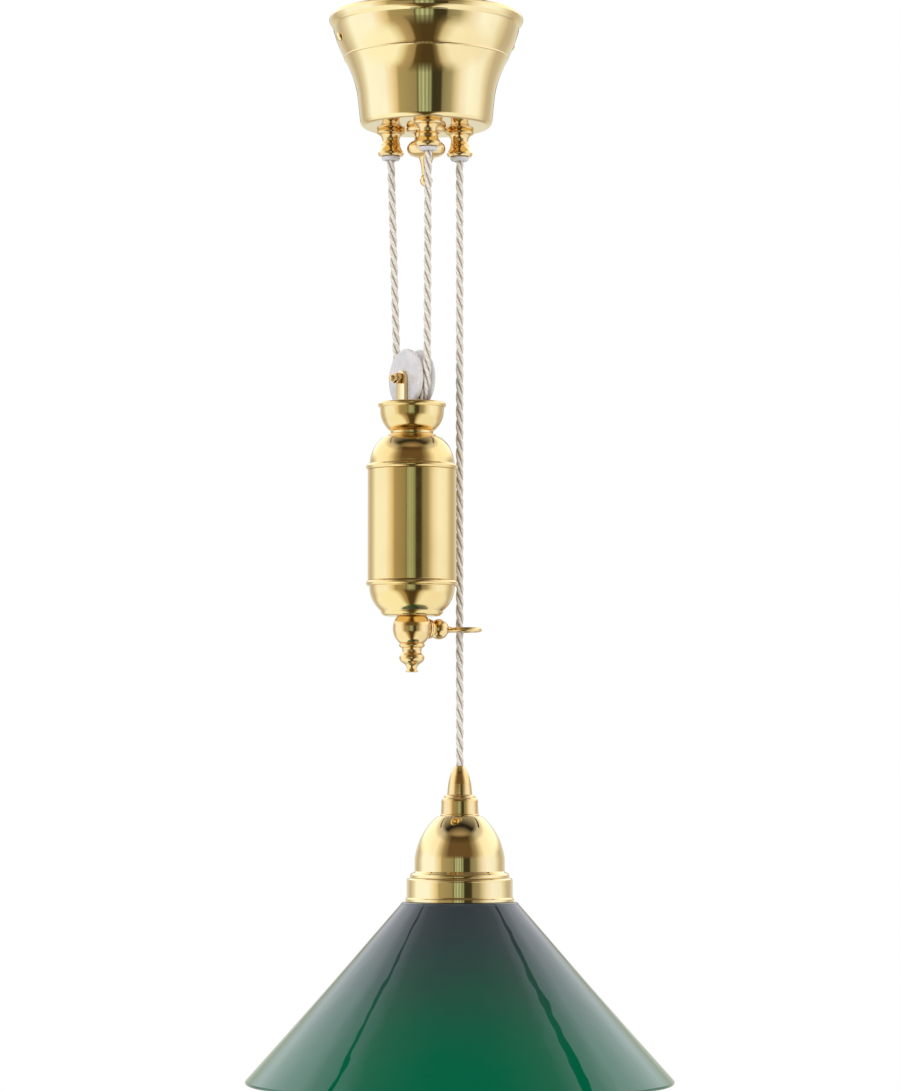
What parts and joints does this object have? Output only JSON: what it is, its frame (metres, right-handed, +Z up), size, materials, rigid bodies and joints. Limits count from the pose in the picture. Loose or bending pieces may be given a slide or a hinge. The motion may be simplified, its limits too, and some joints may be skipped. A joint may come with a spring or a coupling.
{
  "type": "rise and fall pendant",
  "caption": "Ceiling cup with a counterweight on a running cord that raises and lowers a lamp with a cased glass shade.",
  "frame": {"origin": "centre of the ceiling cup's rim, on the ceiling", "axes": "+Z up into the ceiling, +X right and -Y towards the viewer in the picture; the lamp hangs at -Z"},
  "size_m": [0.25, 0.25, 0.6272],
  "materials": {
    "polished_brass": "spun and polished",
    "satin_brass": "spun, satin",
    "turned_brass": "turned and polished, warmer tone",
    "porcelain": "white glazed",
    "steel": "zinc plated",
    "cast_iron": "as cast",
    "cord": "cream twisted flex",
    "cased_glass": "deep green cased over opal white, glossy"
  },
  "bodies": {
    "ceiling": {"ceiling_strap": "steel", "ceiling_cup": "polished_brass", "cup_screws": "polished_brass", "front_bushing": "turned_brass", "right_bushing": "turned_brass", "left_bushing": "turned_brass", "front_liner": "porcelain", "right_liner": "porcelain", "left_liner": "porcelain", "bushing_locknuts": "polished_brass", "cup_finial": "turned_brass", "pulley_bracket": "steel", "ceiling_axle": "steel", "ceiling_axle_nut": "steel", "terminal_block": "porcelain", "terminal_screws": "polished_brass", "cord_anchor": "polished_brass", "anchor_screw": "steel", "left_cord": "cord", "front_cord": "cord", "lamp_cord": "cord", "cord_over_ceiling_pulley": "cord"},
    "weight": {"cord_under_weight_pulley": "cord", "weight_bolt": "turned_brass", "weight_bolt_nuts": "turned_brass", "weight_yoke": "polished_brass", "funnel": "satin_brass", "rod_nut": "steel", "tie_rod": "steel", "weight_shoulder": "satin_brass", "weight_barrel": "satin_brass", "weight_base": "satin_brass", "iron_slug": "cast_iron", "weight_finial": "turned_brass", "eye_washers": "turned_brass", "guide_eye": "turned_brass"},
    "lamp": {"cord_grip": "turned_brass", "lamp_collar": "turned_brass", "lamp_nipple": "polished_brass", "lamp_dome": "polished_brass", "nipple_nut": "steel", "gallery_ring": "polished_brass", "holder_cap": "polished_brass", "holder_barrel": "porcelain", "holder_core": "porcelain", "screw_shell": "turned_brass", "centre_contact": "turned_brass", "shade_ring": "polished_brass", "glass_shade": "cased_glass"},
    "ceiling_wheel": {"ceiling_pulley": "porcelain"},
    "weight_wheel": {"weight_pulley": "porcelain"}
  },
  "joints": [
    {"name": "weight_lift", "type": "slide", "parent": "ceiling", "child": "weight", "axis": [0, 0, 1], "range_m": [-0.022, 0.08], "deforming": ["left_cord", "front_cord"]},
    {"name": "lamp_slide", "type": "slide", "parent": "ceiling", "child": "lamp", "axis": [0, 0, 1], "range_m": [-0.162, 0.046], "deforming": ["lamp_cord"]},
    {"name": "weight_wheel_turn", "type": "hinge", "parent": "weight", "child": "weight_wheel", "pos_m": [-0.00818, -0.00531, -0.2163], "axis": [0.8387, 0.5446, 0], "range_deg": [-283, 79]},
    {"name": "ceiling_wheel_turn", "type": "hinge", "parent": "ceiling", "child": "ceiling_wheel", "pos_m": [0.01047, -0.00533, -0.028], "axis": [0.891, -0.454, 0], "range_deg": [-452, 126]}
  ],
  "couplings": [
    {"joint": "lamp_slide", "follows": "weight_lift", "ratio": -2},
    {"joint": "weight_wheel_turn", "follows": "weight_lift", "rad_per_m": -61.35},
    {"joint": "ceiling_wheel_turn", "follows": "weight_lift", "rad_per_m": -98.272}
  ]
}
